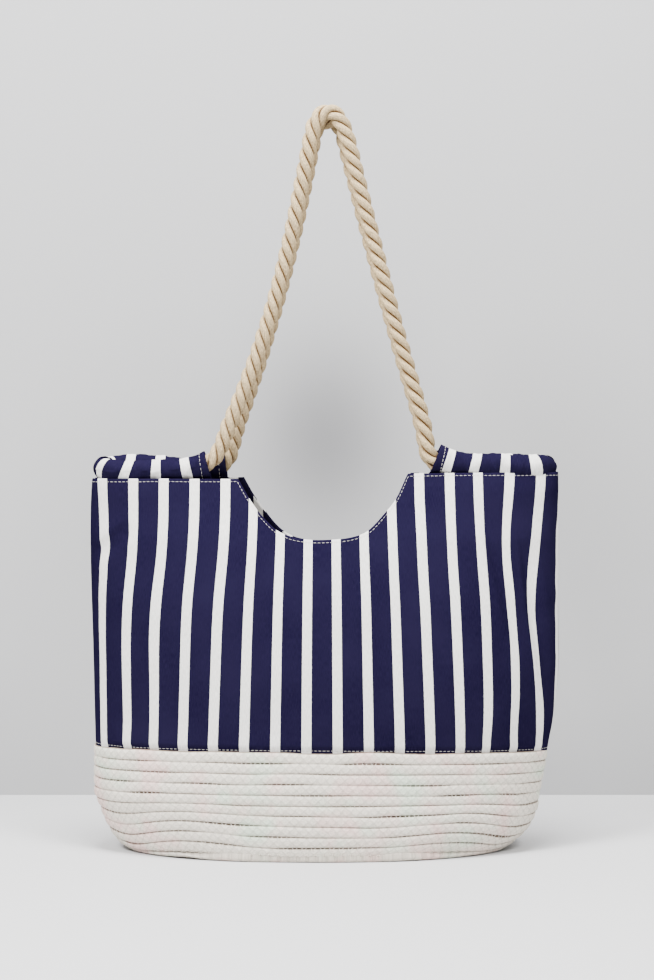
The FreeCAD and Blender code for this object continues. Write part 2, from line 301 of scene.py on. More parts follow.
class Paint:
    """Builds the nodes of one material."""

    def __init__(self, name, roughness):
        self.material = bpy.data.materials.new(name)
        self.material.use_nodes = True
        self.nodes = self.material.node_tree.nodes
        self.links = self.material.node_tree.links
        self.surface = self.nodes["Principled BSDF"]
        self.surface.inputs["Roughness"].default_value = roughness
        self.surface.inputs["Specular IOR Level"].default_value = 0.0

    def add(self, kind, settings=(), **inputs):
        """A node. Each input is a number, a colour or another node's socket."""
        made = self.nodes.new(f"ShaderNode{kind}")
        for name, value in dict(settings).items():
            setattr(made, name, value)
        for name, value in inputs.items():
            socket = made.inputs[int(name[1:]) if name[0] == "_" else name.replace("_", " ")]
            if isinstance(value, bpy.types.NodeSocket):
                self.links.new(value, socket)
            else:
                socket.default_value = value
        return made

    def math(self, operation, first, second=0.0):
        return self.add("Math", {"operation": operation}, _0=first, _1=second).outputs[0]

    def mix(self, share, first, second, blend="MIX"):
        settings = {"data_type": "RGBA", "blend_type": blend}
        return self.add("Mix", settings, _0=share, _6=first, _7=second).outputs[2]

    def noise(self, where, scale, detail=2.0):
        return self.add("TexNoise", Vector=where, Scale=scale, Detail=detail).outputs["Fac"]

    def between(self, value, low, high, new_low=0.0, new_high=1.0):
        ends = {"From_Min": low, "From_Max": high, "To_Min": new_low, "To_Max": new_high}
        return self.add("MapRange", Value=value, **ends).outputs[0]

    def stretched(self, where, scale):
        return self.add("VectorMath", {"operation": "MULTIPLY"}, _0=where, _1=scale).outputs[0]

    def cloth_place(self):
        return self.add("UVMap", {"uv_map": "cloth"}).outputs[0]

    def place(self):
        return self.add("TexCoord").outputs["Object"]

    def colour(self, value):
        socket = self.surface.inputs["Base Color"]
        if isinstance(value, bpy.types.NodeSocket):
            self.links.new(value, socket)
        else:
            socket.default_value = value

    def bump(self, height, depth, strength=1.0):
        """Relief of that depth in millimetres."""
        made = self.add("Bump", Height=height, Distance=depth * MM, Strength=strength)
        self.links.new(made.outputs[0], self.surface.inputs["Normal"])

    def weave(self, where, pitch):
        """A plain weave's height from 0 to 1, from its place on the cloth in metres."""
        axes = self.add("SeparateXYZ", Vector=where)
        turn = 2 * math.pi / (pitch * MM)
        across = self.math("SINE", self.math("MULTIPLY", axes.outputs[0], turn))
        up = self.math("SINE", self.math("MULTIPLY", axes.outputs[1], turn))
        return self.between(self.math("MULTIPLY", across, up), -1.0, 1.0)

    def braid(self, where, across, along):
        """A braid's height: 0 between its strands and 1 on them, which cross in two directions."""
        axes = self.add("SeparateXYZ", Vector=where)
        first = self.math("MULTIPLY", axes.outputs[0], math.pi / (across * MM))
        second = self.math("MULTIPLY", axes.outputs[1], math.pi / (along * MM))
        rising = self.math("COSINE", self.math("ADD", first, second))
        falling = self.math("COSINE", self.math("SUBTRACT", first, second))
        return self.math("ABSOLUTE", self.math("MULTIPLY", rising, falling))


def rgb(red, green, blue):
    """A colour from its linear parts."""
    return (red, green, blue, 1.0)


def striped_canvas():
    paint = Paint("striped_canvas", 0.95)
    where = paint.cloth_place()
    across = paint.add("SeparateXYZ", Vector=where).outputs[0]
    wander = paint.between(paint.noise(where, 900.0), 0.0, 1.0, -0.35 * MM, 0.35 * MM)
    across = paint.math("ADD", across, wander)
    steps = paint.math("DIVIDE", paint.math("SUBTRACT", across, STRIPE_START * MM), STRIPE_PITCH * MM)
    white = paint.math("LESS_THAN", paint.math("FRACT", steps), STRIPE_WIDTH / STRIPE_PITCH)
    slubs = paint.noise(paint.stretched(where, (1.0, 0.12, 1.0)), 1600.0)
    fading = paint.noise(where, 14.0)
    threads = paint.between(slubs, 0.3, 0.7)
    navy = paint.mix(threads, rgb(0.0044, 0.0032, 0.0145), rgb(0.0096, 0.0072, 0.0240))
    navy = paint.mix(paint.between(fading, 0.35, 0.75), navy, rgb(0.0096, 0.0075, 0.0240))
    pale = paint.mix(threads, rgb(0.58, 0.567, 0.54), rgb(0.78, 0.767, 0.74))
    paint.colour(paint.mix(white, navy, pale))
    paint.bump(paint.weave(where, 0.9), 0.08, 0.8)
    return paint.material


def plain_cloth(name, dark, light):
    paint = Paint(name, 0.95)
    where = paint.cloth_place()
    paint.colour(paint.mix(paint.noise(where, 700.0), dark, light))
    paint.bump(paint.weave(where, 1.0), 0.08, 0.8)
    return paint.material


def shaded_cotton(name, groove, crest, fibres, relief, speckle, braid=None):
    """Cotton with painted shade in its grooves, as the mesh's shade says, with fibres along its yarns.

    fibres stretches their noise, and speckle holds how dark and how light they get. A braid has a
    pitch across the cord and one along it, in millimetres.
    """
    paint = Paint(name, 0.95)
    where = paint.cloth_place()
    shade = paint.add("Attribute", {"attribute_name": "shade"}).outputs["Fac"]
    fibre = paint.noise(paint.stretched(where, fibres), 1000.0, 3.0)
    blotch = paint.noise(paint.place(), 60.0)
    dim = paint.math("MULTIPLY", paint.between(fibre, 0.37, 0.63, *speckle),
                     paint.between(blotch, 0.3, 0.7, 0.95, 1.03))
    height = fibre
    if braid:
        weave = paint.braid(where, *braid)
        # The braid is painted darker between its strands: painted shade in the crevices.
        dim = paint.math("MULTIPLY", dim, paint.between(weave, 0.0, 0.3, 0.80, 1.02))
        height = paint.math("ADD", paint.math("MULTIPLY", fibre, 0.4), weave)
    dim = paint.add("CombineColor", Red=dim, Green=dim, Blue=dim).outputs[0]
    # The groove colour is painted shade, mixed in where the mesh's shade says.
    paint.colour(paint.mix(1.0, paint.mix(shade, groove, crest), dim, "MULTIPLY"))
    paint.bump(height, relief)
    return paint


def base_cord():
    """The braided cord, whose bleach left faint warm and cool patches."""
    # The first colour is painted shade for the grooves between turns; the braid adds painted shade between
    # strands.
    paint = shaded_cotton("cotton_cord", rgb(0.20, 0.155, 0.118), rgb(0.66, 0.61, 0.53), (0.9, 0.5, 1.0),
                          0.28, (0.86, 1.08), (8.0, 9.0))
    tint = paint.surface.inputs["Base Color"].links[0].from_socket
    warm = paint.between(paint.noise(paint.place(), 26.0), 0.50, 0.64)
    cool = paint.between(paint.noise(paint.stretched(paint.place(), (1.0, 1.0, 1.3)), 21.0), 0.53, 0.68)
    tint = paint.mix(warm, tint, rgb(1.06, 0.88, 0.92), "MULTIPLY")
    paint.colour(paint.mix(cool, tint, rgb(0.88, 1.06, 1.0), "MULTIPLY"))
    return paint.material


def plain_paint(name, colour, roughness=0.95):
    paint = Paint(name, roughness)
    paint.colour(colour)
    return paint.material


CANVAS = striped_canvas()
LINING = plain_cloth("lining_cotton", rgb(0.42, 0.38, 0.29), rgb(0.52, 0.47, 0.37))
# The first colour is painted shade for the grooves between strands and yarns.
ROPE = shaded_cotton("cotton_rope", rgb(0.13, 0.060, 0.022), rgb(0.53, 0.405, 0.235), (0.9, 0.6, 1.0), 0.9,
                     (0.62, 1.14)).material
CORD = base_cord()
THREAD = plain_paint("pale_thread", rgb(0.56, 0.54, 0.50))
# The first colour is painted shade where the thread sinks into the cord.
SEWN_COTTON = shaded_cotton("zigzag_cotton", rgb(0.22, 0.18, 0.14), rgb(0.72, 0.67, 0.59), (1.0, 1.0, 1.0),
                            0.05, (0.94, 1.02)).material


# ------------------------------ the rope handles

def smooth_line(name, route):
    """Points along the NURBS spline of a route, in millimetres."""
    curve = bpy.data.curves.new(name, "CURVE")
    curve.dimensions = "3D"
    curve.resolution_u = 24
    spline = curve.splines.new("NURBS")
    spline.points.add(len(route) - 1)
    for point, place in zip(spline.points, route):
        point.co = (*place, 1.0)
    spline.order_u = 3
    spline.use_endpoint_u = True
    holder = bpy.data.objects.new(name, curve)
    line = bpy.data.meshes.new_from_object(holder)
    points = np.array([vertex.co for vertex in line.vertices]) / MM
    bpy.data.objects.remove(holder)
    bpy.data.meshes.remove(line)
    return at_distances(points, np.arange(0, travelled(points)[-1], ROPE_STEP))


def carried_frame(path):
    """Directions square to a path that turn no more than it does."""
    along = unit(np.gradient(path, axis=0))
    outward = np.zeros_like(path)
    outward[0] = np.cross(along[0], (0.0, 1.0, 0.0))
    for index in range(1, len(path)):
        previous = outward[index - 1]
        outward[index] = previous - along[index] * np.dot(previous, along[index])
        outward[index] /= np.linalg.norm(outward[index])
    outward = unit(outward - along * np.sum(outward * along, -1, keepdims=True))
    return outward, np.cross(along, outward)


def laid_rope(path, seed):
    """The points, faces, cloth places and shade of a rope of three strands that follows a path."""
    sides, yarns = 48, 10
    outward, aside = carried_frame(path)
    distance = travelled(path)
    twist = distance / (ROPE_LAY[0] + (ROPE_LAY[1] - ROPE_LAY[0]) * 0.5 * distance / distance[-1])
    swell = 1 + 0.02 * waves(distance, distance * 0, 30.0, 1.0, seed)
    points, faces, places, shades = [], [], [], []
    for strand in range(3):
        turn = -2 * math.pi * (twist + strand / 3)
        radial = outward * np.cos(turn)[:, None] + aside * np.sin(turn)[:, None]
        middle = path + radial * (STRAND_OFFSET * swell)[:, None]
        ring = tube(middle, radial, sides, np.ones(len(path)))
        spoke = ring - middle[:, None, :]
        angle = circle(sides)
        yarn = yarns * (angle[None, :] - 2 * math.pi * distance[:, None] / YARN_LAY)
        ridge = np.abs(np.cos(yarn / 2))
        fuzz = waves(angle[None, :] * 9 + 40 * strand, distance[:, None], 1.1, 6.0, seed + strand)
        radius = (STRAND_RADIUS - 0.24 + 0.20 * ridge + 0.12 * fuzz) * swell[:, None]
        surface = middle[:, None, :] + spoke * radius[..., None]
        from_axis = np.linalg.norm(surface - path[:, None, :], axis=-1)
        # Painted shade: darker deep in the grooves between the strands, and between the yarns.
        shades.append(ease(from_axis, 4.9, 7.3) * (0.74 + 0.26 * ridge))
        places.append(np.stack([
            np.broadcast_to(angle * STRAND_RADIUS, from_axis.shape) - distance[:, None] * 0.8,
            np.broadcast_to(distance[:, None], from_axis.shape),
        ], -1))
        faces.append(grid_faces(len(path), sides, around=True) + strand * len(path) * sides)
        points.append(surface)
    return np.array(points), np.concatenate(faces), np.array(places), np.array(shades)


def make_rope(name, path, body, seed, stands_for):
    points, faces, places, shades = laid_rope(path, seed)
    return make_piece(name, points, faces, ROPE, body, stands_for, places, shades)


def make_handle(face, route, seed):
    """A rope handle on its spline."""
    path = smooth_line(f"{face}_handle_line", route)
    node = f"{face}_handle_rope"
    rope = make_rope(f"{face}_handle", path, f"{face}_handle", seed, [node])


# ------------------------------ the canvas

def outline(level):
    """The middle, half width, half depth and squareness of the canvas at some levels."""
    left, right, depth, square = (
        through([(row[0], row[k]) for row in CANVAS_OUTLINE], level) for k in (1, 2, 3, 4)
    )
    return (left + right) / 2, (right - left) / 2, depth, square


def canvas_points(share, level, back, inset=0.0):
    """Points of one face: share runs from -1 at one side seam to 1 at the other."""
    middle, width, depth, square = outline(level)
    side = -1 if back else 1
    x = middle + side * (width - inset) * share
    y = (depth - inset) * (1 - np.abs(share) ** square) ** (1 / square)
    return np.stack(np.broadcast_arrays(x, -side * y, level), -1)


def shares(count):
    """Shares of the half width at which columns stand about evenly along the cloth."""
    turn = np.linspace(-math.pi / 2, math.pi / 2, 4001)
    _, width, depth, _ = outline(np.array(200.0))
    path = np.stack([width * np.sin(turn), depth * np.cos(turn), turn * 0], -1)
    even = np.linspace(0, travelled(path)[-1], count)
    return np.sin(np.interp(even, travelled(path), turn))


def top_line(x, back):
    """The level of a face's upper edge: the top edge at the sides, the neckline in the middle."""
    neck = BACK_NECK if back else FRONT_NECK
    inside = (x > neck[0][0]) & (x < neck[-1][0])
    return np.where(inside, through(neck, x), through(TOP_EDGE, x))


def cloth_grid(back, rows, columns, inset=0.0, foot=CANVAS_FOOT, below_edge=0.0):
    """A face's points from its foot to its upper edge, a row at a time."""
    share = shares(columns)
    middle, width, _, _ = outline(np.array(350.0))
    x = middle + (-1 if back else 1) * width * share
    height = np.linspace(0, 1, rows)[:, None]
    level = foot + (top_line(x, back)[None, :] - below_edge - foot) * height
    return canvas_points(share[None, :], level, back, inset)


def cloth_distances(x, level):
    """How far along the cloth each point is from the middle line at its own level."""
    levels, turns = np.linspace(85.0, 385.0, 61), np.linspace(-math.pi / 2, math.pi / 2, 721)
    rows = canvas_points(np.sin(turns)[None, :], levels[:, None], False)
    steps = np.linalg.norm(np.diff(rows, axis=1)[..., :2], axis=-1)
    table = np.concatenate([np.zeros((len(levels), 1)), np.cumsum(steps, 1)], 1)
    for row, line in zip(table, rows):
        row -= np.interp(CLOTH_MIDDLE, line[:, 0], row)
    middle, width, _, _ = outline(level)
    column = (np.arcsin(np.clip((x - middle) / width, -1, 1)) / math.pi + 0.5) * 720
    row = (level - levels[0]) / (levels[1] - levels[0])
    i, j = np.clip(row.astype(int), 0, 59), np.clip(column.astype(int), 0, 719)
    s, t = row - i, column - j
    low = table[i, j] * (1 - t) + table[i, j + 1] * t
    return low * (1 - s) + (table[i + 1, j] * (1 - t) + table[i + 1, j + 1] * t) * s


def cloth_places(points, back):
    """Places on the flat cloth, from the distance along it and the level."""
    x, level = points[..., 0], points[..., 2]
    spare = through(SPARE_CLOTH, level) * np.clip((x - CLOTH_MIDDLE) / SPARE_REACH, -1, 1)
    across = cloth_distances(x, level) + spare
    if back:
        return np.stack([BACK_STRIPE_SHIFT - across, level], -1)
    for place, height, reach, rise, push in PUSHED_CLOTH:
        across = across + push * np.exp(-((x - place) / reach) ** 2 - ((level - height) / rise) ** 2)
    return np.stack([across, level], -1)


def fold(x, z, start, end, width, depth, fade):
    """A diagonal fold: the cloth drops by depth just right of a line and rises again over fade."""
    start, end = np.array(start), np.array(end)
    run = np.linalg.norm(end - start)
    along = (end - start) / run
    place = (x - start[0]) * along[0] + (z - start[1]) * along[1]
    aside = (x - start[0]) * -along[1] + (z - start[1]) * along[0]
    window = ease(place, -0.15 * run, 0.25 * run) * (1 - ease(place, 0.7 * run, 1.15 * run))
    return -depth * window * ease(aside, -width / 2, width / 2) * (1 - ease(aside, width, fade))


def hang(points, back):
    """How far the cloth stands out from its outline at each point."""
    x, z = points[..., 0], points[..., 2]
    seed = 50 if back else 20
    top = points[-1, :, 2][None, :]
    below_top = np.maximum(top - z, 0)
    above_foot = np.maximum(z - 108, 0)
    width = outline(z)[1]
    from_side = width - np.abs(x - outline(z)[0])
    out = 1.3 * waves(x, z, 74.0, 140.0, seed) + 0.55 * waves(x, z, 33.0, 60.0, seed + 1)
    out = out * ease(from_side, 0, 30) * ease(above_foot, 0, 30)
    out += 0.55 * waves(x + 0.2 * z, z, 10.0, 40.0, seed + 2) * np.exp(-above_foot / 9)
    out += 0.45 * waves(x, z, 9.0, 30.0, seed + 3) * np.exp(-below_top / 8)
    out += 0.9 * waves(z, x, 16.0, 60.0, seed + 4) * np.exp(-from_side / 9) * ease(from_side, 0, 2)
    out -= TUCK * (1 - ease(z - seam_level(x, back), 0.0, 7.0)) * ease(from_side, 0, 25)
    if not back:
        out += fold(x, z, (150.0, 345.0), (187.0, 205.0), 12.0, 3.4, 46.0)
        out += fold(x, z, (194.0, 305.0), (217.0, 150.0), 7.0, 4.0, 20.0)
        out += fold(x, z, (-196.0, 330.0), (-232.0, 300.0), 9.0, 2.5, 20.0)
    return out


def turned_edge(points, normals, radius=0.95):
    """Rows that carry the top row over a rounded edge and down the inside."""
    edge, outward = points[-1], normals[-1]
    upward = unit(points[-1] - points[-3])
    rows = [
        edge - outward * radius * (1 - math.cos(angle)) + upward * radius * math.sin(angle)
        for angle in np.radians((40, 80, 110, 140, 180))
    ]
    rows += [edge - outward * 2 * radius - upward * depth for depth in (2.5, 6.0, 10.0)]
    return np.array(rows)


def make_panel(back):
    """One canvas face: its hung surface, with a turned edge at the top."""
    face = "back" if back else "front"
    flat = cloth_grid(back, 170, 330)
    normals = grid_normals(flat)
    points = flat + normals * hang(flat, back)[..., None]
    normals = grid_normals(points)
    edge = turned_edge(points, normals)
    places = cloth_places(flat, back)
    edge_places = np.repeat(places[-1:], len(edge), 0)
    everything = np.concatenate([points, edge])
    piece = make_piece(
        f"{face}_canvas", everything, grid_faces(*everything.shape[:2]), CANVAS,
        stands_for=[f"{face}_panel"], uv=np.concatenate([places, edge_places]),
    )
    thicken(piece, CANVAS_THICKNESS)
    return points, normals


def make_lining(back):
    """The plain cotton behind a canvas face, from the base to the top edge and the facing."""
    face = "back" if back else "front"
    flat = cloth_grid(back, 110, 220, inset=LINING_INSET, foot=98.0, below_edge=6.0)
    x, z = flat[..., 0], flat[..., 2]
    wrinkles = 0.9 * waves(x, z, 26.0, 70.0, 90 + back) + 0.4 * waves(x + z, z, 11.0, 30.0, 92 + back)
    free = ease(flat[-1, :, 2][None, :] - z, 28.0, 70.0)
    inward = np.minimum(hang(flat, back), 0.0) + (wrinkles - 1.4) * free
    points = flat + grid_normals(flat) * inward[..., None]
    piece = make_piece(
        f"{face}_lining_cloth", points, grid_faces(*points.shape[:2]), LINING,
        stands_for=[f"{face}_lining"], uv=cloth_places(flat, back),
    )
    thicken(piece, LINING_THICKNESS)


def make_facing(back):
    """The striped band that finishes the neckline on the inside."""
    face = "back" if back else "front"
    neck = np.array(BACK_NECK if back else FRONT_NECK)
    x = np.linspace(neck[0, 0] + 0.6, neck[-1, 0] - 0.6, 220)
    edge = np.stack([x, through(neck, x)], -1)
    outward = unit(np.stack([np.gradient(edge[:, 1]), -np.gradient(edge[:, 0])], -1))
    reach = np.linspace(0.4, 26.0, 16)[:, None, None]
    place = edge[None] + outward[None] * reach
    place[..., 1] = np.minimum(place[..., 1], through(TOP_EDGE, place[..., 0]) - 1.5)
    place = place[::-1]
    middle, width, depth, square = outline(place[..., 1])
    share = (place[..., 0] - middle) / width
    y = (depth - FACING_INSET) * (1 - np.abs(share) ** square) ** (1 / square)
    side = -1 if back else 1
    points = np.stack([place[..., 0], -side * y, place[..., 1]], -1)
    across = (place[..., 0] - CLOTH_MIDDLE) * 1.05 * side + (8.2 if back else 0.0)
    uv = np.stack([across, place[..., 1]], -1)
    if back:
        points, uv = points[:, ::-1], uv[:, ::-1]
    inward = np.minimum(hang(points, back), 0.0) + 0.2 * waves(points[..., 0], points[..., 2], 14, 20, 5)
    points = points + grid_normals(points) * inward[..., None]
    piece = make_piece(
        f"{face}_facing", points, grid_faces(*points.shape[:2]), CANVAS,
        stands_for=[f"{face}_neck_facing"], uv=uv,
    )
    thicken(piece, FACING_THICKNESS)


# ------------------------------ the rolled casings

def casing_axis(face, hand, distances):
    """Points along a casing's axis at some distances from its mouth."""
    shape = CASINGS[face, hand]
    side = -1 if hand == "left" else 1
    front = -1 if face == "front" else 1
    straight = CASING_TURN - shape["mouth"]
    turn = np.clip((distances - straight) / CASING_SPACING, 0, math.pi / 2)
    x = shape["mouth"] + np.minimum(distances, straight) + CASING_SPACING * np.sin(turn)
    y = CASING_SPACING * np.cos(turn)
    return np.stack([side * x, front * y, through(shape["level"], distances)], -1)


def casing_length(face, hand):
    return CASING_TURN - CASINGS[face, hand]["mouth"] + CASING_SPACING * math.pi / 2


def make_casing(face, hand):
    """A rolled casing: a puckered sleeve with a turned mouth, and the line for the stitches round its
    mouth.
    """
    shape = CASINGS[face, hand]
    side = -1 if hand == "left" else 1
    end = casing_length(face, hand)
    outer = np.concatenate([np.array([0.0, 0.5, 1.4]), np.linspace(2.6, end, 84)])
    inner = np.array([24.0, 16.0, 9.0, 4.0, 1.4, 0.5, 0.0])
    distances = np.concatenate([inner, outer[1:]])
    inside = np.arange(len(distances)) < len(inner)
    inset = np.where(inside, -CASING_SKIN, 0.0)
    near = np.exp(-distances / 0.8)
    inset = inset * (1 - near) + near * -CASING_SKIN / 2
    sides = 72
    angle = circle(sides)
    axis = casing_axis(face, hand, distances)
    along = casing_axis(face, hand, distances + 0.5) - casing_axis(face, hand, distances - 0.5)
    along[distances < 1] = (side, 0, 0)
    along[..., 2] = 0
    along = unit(along)
    up = np.broadcast_to((0.0, 0.0, 1.0), axis.shape)
    level_out = np.cross(up, along)
    spoke = up[:, None] * np.sin(angle)[:, None] + level_out[:, None] * np.cos(angle)[:, None]
    height = np.sin(angle)[None, :]
    d = distances[:, None]
    seed, turn = shape["seed"], angle[None, :]
    crease = waves(d + 3.5 * turn * np.sign(np.cos(turn)), turn * 8, 9.0, 9.0, seed)
    crease += 0.6 * waves(d - 2.0 * height, turn * 8, 5.0, 7.0, seed + 1)
    fine = 0.35 * waves(d, turn * 10, 4.0, 6.0, seed + 2)
    relief = (0.75 * crease + fine) * ease(d, 0.0, 8.0) + 0.5 * crease
    radius = through(shape["radius"], distances)[:, None] + inset[:, None] + relief * 0.7
    radius = np.maximum(radius, CASING_LEAST_RADIUS)
    points = axis[:, None, :] + spoke * radius[..., None]
    points[..., 0] += side * shape["lean"] * height * np.exp(-d / 12)
    points[..., 2] -= 1.2 * ease(-height, 0.2, 1.0)
    beyond = np.maximum(shape["mouth"] + d - CASING_TURN, 0)
    cloth = shape["mouth"] + d + beyond * shape["outer"] / CASING_SPACING
    cloth = cloth + shape["pull"] * (1 - ease(d, 8, 32)) + through(shape["slant"], d) * height
    across = (cloth - shape["stripe"]) * STRIPE_PITCH / CASING_STRIPE_PITCH
    across = -across if side < 0 else across
    uv = np.stack(np.broadcast_arrays(across + STRIPE_START, angle[None, :] * 11), -1)
    faces = grid_faces(len(distances), sides, around=True)
    if side < 0:
        faces = faces[:, ::-1]
    piece = make_piece(
        f"{face}_{hand}_sleeve", points, faces, CANVAS,
        stands_for=[f"{face}_{hand}_casing"], uv=uv,
    )
    path = np.stack([
        [np.interp(7.0, outer, points[len(inner) - 1:, k, axis_number]) for axis_number in range(3)]
        for k in list(range(sides)) + [0]
    ])
    normals = np.concatenate([spoke[len(inner)], spoke[len(inner)][:1]])
    return path, normals


def make_casing_rope(hand):
    """The rope inside the two casings of one side."""
    lines = []
    for face in ("front", "back"):
        distances = np.arange(13.0, casing_length(face, hand), ROPE_STEP)
        lines.append(casing_axis(face, hand, distances))
    path = np.concatenate([lines[0], lines[1][::-1]])
    path = at_distances(path, np.arange(0, travelled(path)[-1], ROPE_STEP))
    make_rope(f"{hand}_hidden_rope", path, "bag", 70, [f"{hand}_casing_rope"])


def make_band():
    """The whipped cotton band over the joint of the rope."""
    middle = CASING_TURN - 42.0 - CASINGS["back", "left"]["mouth"]
    distances = np.linspace(middle - 30, middle + 30, 61)
    path = casing_axis("back", "left", distances)
    outward = np.broadcast_to((0.0, 0.0, 1.0), path.shape)
    ridge = 0.18 * np.abs(np.sin(distances * math.pi / 1.9))
    points = tube(path, outward, 40, 8.75 + ridge - 0.4 * ease(np.abs(distances - middle), 27, 30))
    places = np.stack(np.meshgrid(np.arange(40) * 1.3, distances), -1)
    make_piece("joint_band", points, grid_faces(61, 40, around=True), LINING,
               stands_for=["rope_splice_band"], uv=places)


# ------------------------------ the cord base

ANGLES = 1440
PROFILE = 240


def base_table():
    """Points through the middle of the cord wall, at even turns up each profile and even angles."""
    angle = np.linspace(0, 2 * math.pi, ANGLES + 1)[None, :]
    ring = np.arange(len(BASE_RINGS), dtype=float)
    read = np.linspace(0, len(ring) - 1, 600)
    level, left, right, depth = (
        through(list(zip(ring, column)), read)[:, None] for column in np.array(BASE_RINGS).T
    )
    level = np.maximum(level, BASE_RINGS[0][0])
    front = np.maximum(np.cos(angle), 0) ** 2
    level = level + FRONT_LIFT * front * ease(level, 10.0, 104.0)
    x = (left + right) / 2 + (right - left) / 2 * np.sin(angle)
    y = -depth * np.cos(angle)
    points = np.stack(np.broadcast_arrays(x, y, level), -1)
    table = np.empty((PROFILE, ANGLES + 1, 3))
    turns, rows = [0, COIL_TURNS - WALL_TURNS, COIL_TURNS], np.linspace(0, COIL_TURNS, PROFILE)
    for column in range(ANGLES + 1):
        line = points[:, column]
        whole = travelled(line)[-1]
        reach = np.interp(rows, turns, [0, whole - WALL_TURNS * COIL_PITCH, whole])
        table[:, column] = at_distances(line, reach)
    return table


BASE_TABLE = base_table()


def base_surface(row, angle):
    """Where turn number row of the coil is at some angle, with its outward and upward directions."""

    def read(row, angle):
        down = np.clip(row / COIL_TURNS, 0, 1) * (PROFILE - 1)
        across = (angle / (2 * math.pi)) % 1.0 * ANGLES
        i = np.minimum(down.astype(int), PROFILE - 2)
        j = np.minimum(across.astype(int), ANGLES - 1)
        s, t = (down - i)[..., None], (across - j)[..., None]
        low = BASE_TABLE[i, j] * (1 - t) + BASE_TABLE[i, j + 1] * t
        high = BASE_TABLE[i + 1, j] * (1 - t) + BASE_TABLE[i + 1, j + 1] * t
        return low * (1 - s) + high * s

    row, angle = np.broadcast_arrays(np.asarray(row, float), np.asarray(angle, float))
    turned = (angle + math.pi) % (2 * math.pi) - math.pi
    window = ease(row, 6.5, 8.5) * (1 - ease(row, 9.5, 14.0))
    for place, reach, shift in ROW_HUMPS:
        row = row + shift * window * np.exp(-((turned - place) / reach) ** 2)
    upward = unit(read(np.minimum(row + 0.15, COIL_TURNS), angle) - read(np.maximum(row - 0.15, 0), angle))
    onward = unit(read(row, angle + 0.02) - read(row, angle - 0.02))
    return read(row, angle), unit(np.cross(onward, upward)), upward


def coil_path(step, row_shift=0.0, turns=COIL_TURNS - 0.5):
    """Even points along the coil from its upper end inward: the turn numbers and the angles."""
    turned = np.linspace(0, turns, int(turns * 2400))
    angle = COIL_START + 2 * math.pi * turned
    row = COIL_TURNS - turned - 0.02 + row_shift
    points = base_surface(row, angle)[0]
    known = travelled(points)
    even = np.arange(0, known[-1], step)
    return np.interp(even, known, row), np.interp(even, known, angle), even


def wobble(angle, row):
    """The small unevenness of hand-fed rows, in millimetres along the profile."""
    return 0.9 * waves(angle * 18, row, 4.0, 3.5, 8) + 0.14 * waves(angle * 60, row * 3, 4.0, 1.0, 9)


def half_gap(row, angle, step):
    """How far the cord reaches from its middle to its groove with the next turn, up or down."""
    places = []
    for turn in (row, row + step):
        middle, _, upward = base_surface(turn, angle)
        places.append(middle + upward * wobble(angle, turn)[:, None])
    gap = np.linalg.norm(places[1] - places[0], axis=1) / 2
    inside = (row + step > 0.5) & (row + step < COIL_TURNS)
    return np.where(inside, np.clip(gap, 3.8, 6.6), CORD_WIDTH / 2) + CORD_OVERLAP


def seam_level(x, back):
    """The level of the top of the cord on one face of the bag."""
    turn = np.arcsin(np.clip((x + 3.6) / 224.0, -1, 1))
    angle = math.pi - turn if back else turn
    turned = (angle - COIL_START) / (2 * math.pi) % 1.0
    top = base_surface(np.full(np.shape(x), COIL_TURNS - 0.001), angle)[0][..., 2]
    return top + CORD_WIDTH / 2 - (turned + 1 - ease(turned, 0.0, 0.045)) * COIL_PITCH


def make_coil():
    """The braided cord, wound in one long spiral from the top of the wall to the middle of the floor."""
    sides, ring_step, squareness, end_length = 26, 1.3, 3.6, 55
    row, angle, distance = coil_path(ring_step)
    middle, outward, upward = base_surface(row, angle)
    middle = middle + upward * wobble(angle, row)[:, None]
    above, below = half_gap(row, angle, 1.0), half_gap(row, angle, -1.0)
    around = circle(sides)
    power = 2 / squareness
    flat = np.sign(np.cos(around)) * np.abs(np.cos(around)) ** power
    wide = np.sign(np.sin(around)) * np.abs(np.sin(around)) ** power
    # The upper end thins down onto the turn below it.
    taper = (0.1 + 0.9 * ease(distance, 0, end_length))[:, None]
    middle = middle - upward * CORD_WIDTH / 2 * (1 - taper)
    cell_width, cell_length = 8.0, 9.0
    across = wide * CORD_WIDTH / 2
    turn = across[None, :] * math.pi / cell_width
    run = distance[:, None] * math.pi / cell_length
    braid = np.cos(turn + run) * np.cos(turn - run)
    relief = 1 + 0.05 * braid + 0.03 * waves(around[None, :] * 4, distance[:, None], 1.0, 7.0, 31)
    out = CORD_DEPTH / 2 * flat[None, :] * relief * taper
    up = np.where(wide > 0, above[:, None], below[:, None]) * wide[None, :] * taper
    points = middle[:, None, :] + outward[:, None, :] * out[..., None] + upward[:, None, :] * up[..., None]
    points[..., 2] = np.maximum(points[..., 2], 0.0)
    # Painted shade in the grooves between turns, paler on the floor turns underneath.
    on_wall = 0.3 + 0.7 * ease(row, 7.2, 8.6)
    shade = 1 - ease(np.abs(wide), 0.80, 0.96)[None, :] * on_wall[:, None]
    places = np.stack(np.broadcast_arrays(across[None, :], distance[:, None]), -1)
    make_piece(
        "coiled_cord", points, grid_faces(len(row), sides, around=True), CORD,
        stands_for=["base_wall_coil", "base_floor_coil"], uv=places, shade=shade,
    )


